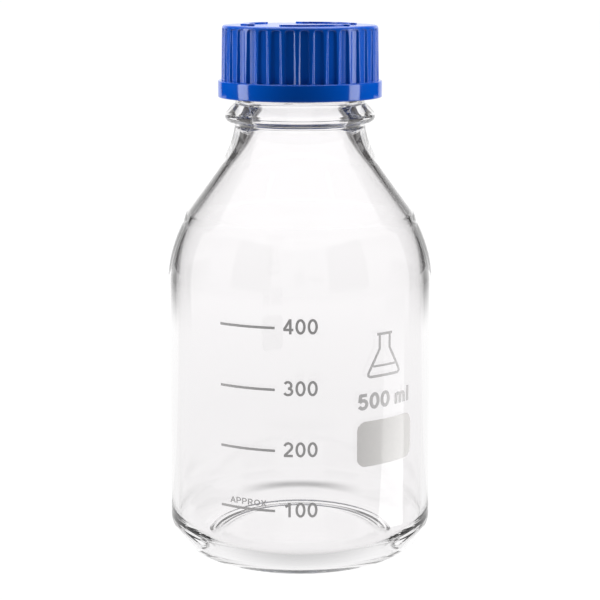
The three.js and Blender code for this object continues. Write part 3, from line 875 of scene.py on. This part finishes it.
def flag_cloth(name, clear_z, black_z, edge_deg=None):
    """Black cloth that fades in upwards, from clear at one height to black at another. With an
    edge it fades in sideways too, from that many degrees off the back."""
    material = black_cloth(name, glow=0.1)
    tree = material.node_tree
    _place, x, y, z = object_place(tree)
    cover = faded(tree, z, clear_z, black_z, 0, 1)
    if edge_deg is not None:
        edge_width = 6
        off_back = computed(tree, "ARCTAN2", computed(tree, "ABSOLUTE", x), y)
        start, end = math.radians(edge_deg), math.radians(edge_deg + edge_width)
        cover = computed(tree, "MULTIPLY", cover, faded(tree, off_back, start, end, 0, 1))
    clear = tree.nodes.new("ShaderNodeBsdfTransparent")
    mix = tree.nodes.new("ShaderNodeMixShader")
    tree.links.new(cover, mix.inputs["Fac"])
    tree.links.new(clear.outputs["BSDF"], mix.inputs[1])
    tree.links.new(tree.nodes["Principled BSDF"].outputs["BSDF"], mix.inputs[2])
    tree.links.new(mix.outputs["Shader"], tree.nodes["Material Output"].inputs["Surface"])
    return material


def matt_glow(name, glow):
    """Matt and dark, with a glow of its own."""
    return new_material(
        name,
        Base_Color=(0.02, 0.02, 0.02, 1),
        Roughness=1.0,
        Specular_IOR_Level=0.0,
        Emission_Color=(1, 1, 1, 1),
        Emission_Strength=glow,
    )


def glow_by_distance(name, near, far, near_glow, far_glow):
    """A matt glow that changes between two distances from the bottle's axis."""
    material, tree, shader = matt_glow(name, near_glow)
    distance = distance_from(tree, object_place(tree)[0])
    glow = map_range(tree, distance, near_glow, far_glow, near, far)
    tree.links.new(glow, shader.inputs["Emission Strength"])
    return material


def make_dark_studio():
    """The unlit room round the stage, for reflections, and the flags behind, for refractions."""
    room, room_top, ground_start = 1.3, 1.1, 0.05
    cloth = black_cloth("studio_black")
    wall = swept_sheet("studio_wall", (room, 0.0), (room, room_top), -142, 142, cloth)
    stage_only(wall, diffuse=True, glossy=True)
    glow = glow_by_distance("studio_ground", 0.25, 0.7, 0.85, 0.0)
    ground = swept_sheet("studio_ground", (room, 0), (ground_start, 0), -125, 125, glow)
    stage_only(ground, diffuse=True, glossy=True)

    low_edge, high_edge, outer_edge = 26, 19, 75
    behind, split_z, back_top, ahead, front_top = 0.25, 0.1, 0.35, 0.75, 0.5
    low_cloth = flag_cloth("near_flag_black", 0.02, 0.05, low_edge)
    high_cloth = flag_cloth("high_flag_black", 0.02, 0.05, high_edge)
    front_cloth = flag_cloth("far_flag_black", 0.015, 0.09)
    for name, distance, start, end, low, high, cloth in (
        ("flag_back_left", behind, 180 + low_edge, 180 + outer_edge, 0, split_z, low_cloth),
        ("flag_back_right", behind, 180 - outer_edge, 180 - low_edge, 0, split_z, low_cloth),
        ("flag_high_left", behind, 180 + high_edge, 180 + outer_edge, split_z, back_top, high_cloth),
        ("flag_high_right", behind, 180 - outer_edge, 180 - high_edge, split_z, back_top, high_cloth),
        ("flag_front_left", ahead, -62, -25, 0, front_top, front_cloth),
        ("flag_front_right", ahead, 25, 62, 0, front_top, front_cloth),
    ):
        flag = swept_sheet(name, (distance, low), (distance, high), start, end, cloth)
        stage_only(flag, transmission=True)


def arc_shade(tree, place, x, y):
    """How much a faint curved line of painted shade behind the foot darkens the floor, so that it shows
    through the base as a soft dark arc. It fades to its ends.
    """
    centre, radius, half_width, darkest = (0, 0.02, 0), 0.032, 0.006, 0.5
    full_to_x, none_from_x = 0.006, 0.027
    none_to_y, full_from_y = 0.025, 0.035
    off_line = computed(tree, "SUBTRACT", distance_from(tree, place, centre), radius)
    line = faded(tree, computed(tree, "ABSOLUTE", off_line), 0, half_width, darkest, 0)
    middle = faded(tree, computed(tree, "ABSOLUTE", x), full_to_x, none_from_x, 1, 0)
    back = faded(tree, y, none_to_y, full_from_y, 0, 1)
    return computed(tree, "MULTIPLY", computed(tree, "MULTIPLY", line, middle), back)


def front_shade(tree, place, y):
    """How much painted shade darkens the floor under the front of the foot, standing in for the
    bottle's contact shadow.
    """
    front_y, middle_y, darkest = -0.046, -0.024, 0.4
    full_to_r, none_from_r = 0.045, 0.065
    front = faded(tree, y, front_y, middle_y, darkest, 0)
    close = faded(tree, distance_from(tree, place), full_to_r, none_from_r, 1, 0)
    return computed(tree, "MULTIPLY", front, close)


def make_floor():
    """A white floor, and the one that is seen through the glass, which carries painted shade: it glows
    less near the bottle, under the front of the foot and along a faint curved line behind it.
    """
    reach = 20
    corners = [(-reach, -reach), (reach, -reach), (reach, reach), (-reach, reach)]
    white = matt_glow("white_floor", 1.02)[0]
    floor = flat_sheet("floor", corners, -0.0002, white)
    floor.visible_transmission = False

    # Painted shade: the glow is lower near the bottle's axis than far out.
    shaded = glow_by_distance("shaded_floor", 0.18, 0.6, 0.905, 1.055)
    tree = shaded.node_tree
    strength = tree.nodes["Principled BSDF"].inputs["Emission Strength"]
    glow = strength.links[0].from_socket
    place, x, y, _z = object_place(tree)
    # Painted shade under the front of the foot and along a curved line behind it, taken off the glow.
    shade = computed(tree, "ADD", front_shade(tree, place, y), arc_shade(tree, place, x, y))
    darker = computed(tree, "SUBTRACT", glow, computed(tree, "MULTIPLY", glow, shade))
    tree.links.new(darker, strength)
    stage_only(flat_sheet("floor_through_glass", corners, -0.0003, shaded), transmission=True)


def make_table_glare():
    """A bright patch of table on the right, which the side of the bottle mirrors."""
    glare = glow_by_distance("table_glare", 0.08, 0.46, 4, 0)
    corners = [(0.067, -0.0495), (0.52, -0.138), (0.52, 0.082), (0.0717, -0.0191)]
    stage_only(flat_sheet("table_glare", corners, 0.0004, glare), glossy=True)


def area_light(name, size, energy, location, target):
    """A rectangular light that neither the camera nor refracted rays see."""
    light = bpy.data.lights.new(name, "AREA")
    light.shape = "RECTANGLE"
    light.size, light.size_y = size
    light.energy = energy
    holder = bpy.data.objects.new(name, light)
    bpy.context.collection.objects.link(holder)
    holder.location = location
    holder.rotation_euler = (Vector(target) - Vector(location)).to_track_quat("-Z", "Y").to_euler()
    holder.visible_transmission = False
    holder.visible_camera = False
    return holder


def side_light(name, size, energy, bearing, distance, height, aim_height):
    """An area light at a bearing, aimed at the bottle's axis."""
    place = bearing_point(bearing, distance, height)
    return area_light(name, size, energy, place, (0, 0, aim_height))


def make_world():
    """White round the horizon and dimmer overhead, though less so for refracted rays."""
    world = bpy.data.worlds.new("studio")
    bpy.context.scene.world = world
    world.use_nodes = True
    tree = world.node_tree
    background = tree.nodes["Background"]
    background.inputs["Color"].default_value = (1, 1, 1, 1)
    place = tree.nodes.new("ShaderNodeTexCoord")
    split = tree.nodes.new("ShaderNodeSeparateXYZ")
    tree.links.new(place.outputs["Generated"], split.inputs["Vector"])
    refracted = tree.nodes.new("ShaderNodeLightPath").outputs["Is Transmission Ray"]
    overhead = map_range(tree, refracted, 0.5, 0.95)
    sky = faded(tree, split.outputs["Z"], 0.15, 0.45, 1.1, overhead)
    tree.links.new(sky, background.inputs["Strength"])


def make_lights():
    make_world()
    area_light("overhead", (1.6, 1.6), 26, (0, 0.25, 1.35), (0, 0, 0))
    on_cap = bpy.data.collections.new("lit_by_strips")
    for name in ("cap_moulding", "cap_arrows"):
        on_cap.objects.link(bpy.data.objects[name])
    for name, bearing in (("left_strip", -85), ("right_strip", 80.6)):
        strip = side_light(name, (0.24, 0.5), 2.1, bearing, distance=0.75, height=0.25, aim_height=0.25)
        strip.light_linking.receiver_collection = on_cap
    for name, bearing in (("left_fill", -100), ("right_fill", 100)):
        fill = side_light(name, (0.6, 0.8), 9, bearing, distance=0.85, height=0.45, aim_height=0.15)
        fill.visible_glossy = False


def make_camera():
    """A long lens from the front, a little above the cap, with the plain colour transform."""
    look_down_deg = 9.7
    data = bpy.data.cameras.new("camera")
    data.sensor_width = 36
    data.lens = 97.5
    data.shift_y = -0.08
    camera = bpy.data.objects.new("camera", data)
    bpy.context.collection.objects.link(camera)
    camera.location = (0, -0.5244, 0.187)
    camera.rotation_euler = (math.radians(90 - look_down_deg), 0, 0)
    scene = bpy.context.scene
    scene.camera = camera
    scene.view_settings.view_transform = "Standard"


def allow_deep_glass():
    """Lets light bounce often enough to come back out of the thick base."""
    limits = bpy.context.scene.cycles
    limits.max_bounces = 32
    limits.glossy_bounces = 24
    limits.transmission_bounces = 32
    limits.transparent_max_bounces = 16


make_camera()
allow_deep_glass()
make_glass()
cap_plastic = cap_material()
make_cap(cap_plastic)
make_cap_arrows(cap_plastic)
make_pouring_ring()
make_liner()
make_enamel()
make_floor()
make_lights()
make_dark_studio()
make_table_glare()
